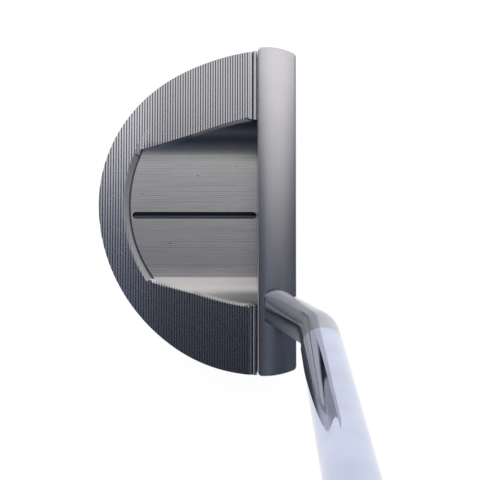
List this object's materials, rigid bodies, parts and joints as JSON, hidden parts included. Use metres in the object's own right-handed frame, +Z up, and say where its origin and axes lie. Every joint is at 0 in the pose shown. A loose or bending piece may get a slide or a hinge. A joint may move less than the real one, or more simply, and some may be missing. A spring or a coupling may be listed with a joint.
{
  "type": "mallet putter",
  "caption": "Half-moon mallet putter, left-handed: ribbed flange with sunken deck and sight slot behind a milled face block, bent chromed neck, stepped shaft and rubber grip.",
  "frame": {"origin": "on the flat of the sole, under the centre of the half-moon, 0.5 mm behind the face block's back face", "axes": "+X along the target line, out of the striking face; +Y towards the toe; +Z up, square to the sole"},
  "size_m": [0.0776, 0.342, 0.8252],
  "materials": {
    "block_steel": "bead-blasted stainless steel, satin, milled face",
    "flange_metal": "machined, ribbed, satin grey",
    "sight_enamel": "dark enamel fill",
    "neck_chrome": "polished chrome plate",
    "shaft_chrome": "polished chrome plate",
    "screw_steel": "dark oxide",
    "weight_steel": "turned face",
    "tape_paper": "crepe paper tape",
    "grip_rubber": "matt moulded rubber",
    "cap_rubber": "hard moulded rubber"
  },
  "bodies": {
    "root": {"front_block": "block_steel", "ribbed_flange": "flange_metal", "sight_line_fill": "sight_enamel", "neck": "neck_chrome", "neck_screw": "screw_steel", "flange_screws": "screw_steel", "toe_weight": "weight_steel", "heel_weight": "weight_steel", "shaft": "shaft_chrome", "grip_tape": "tape_paper", "grip": "grip_rubber", "grip_cap": "cap_rubber"}
  },
  "joints": []
}
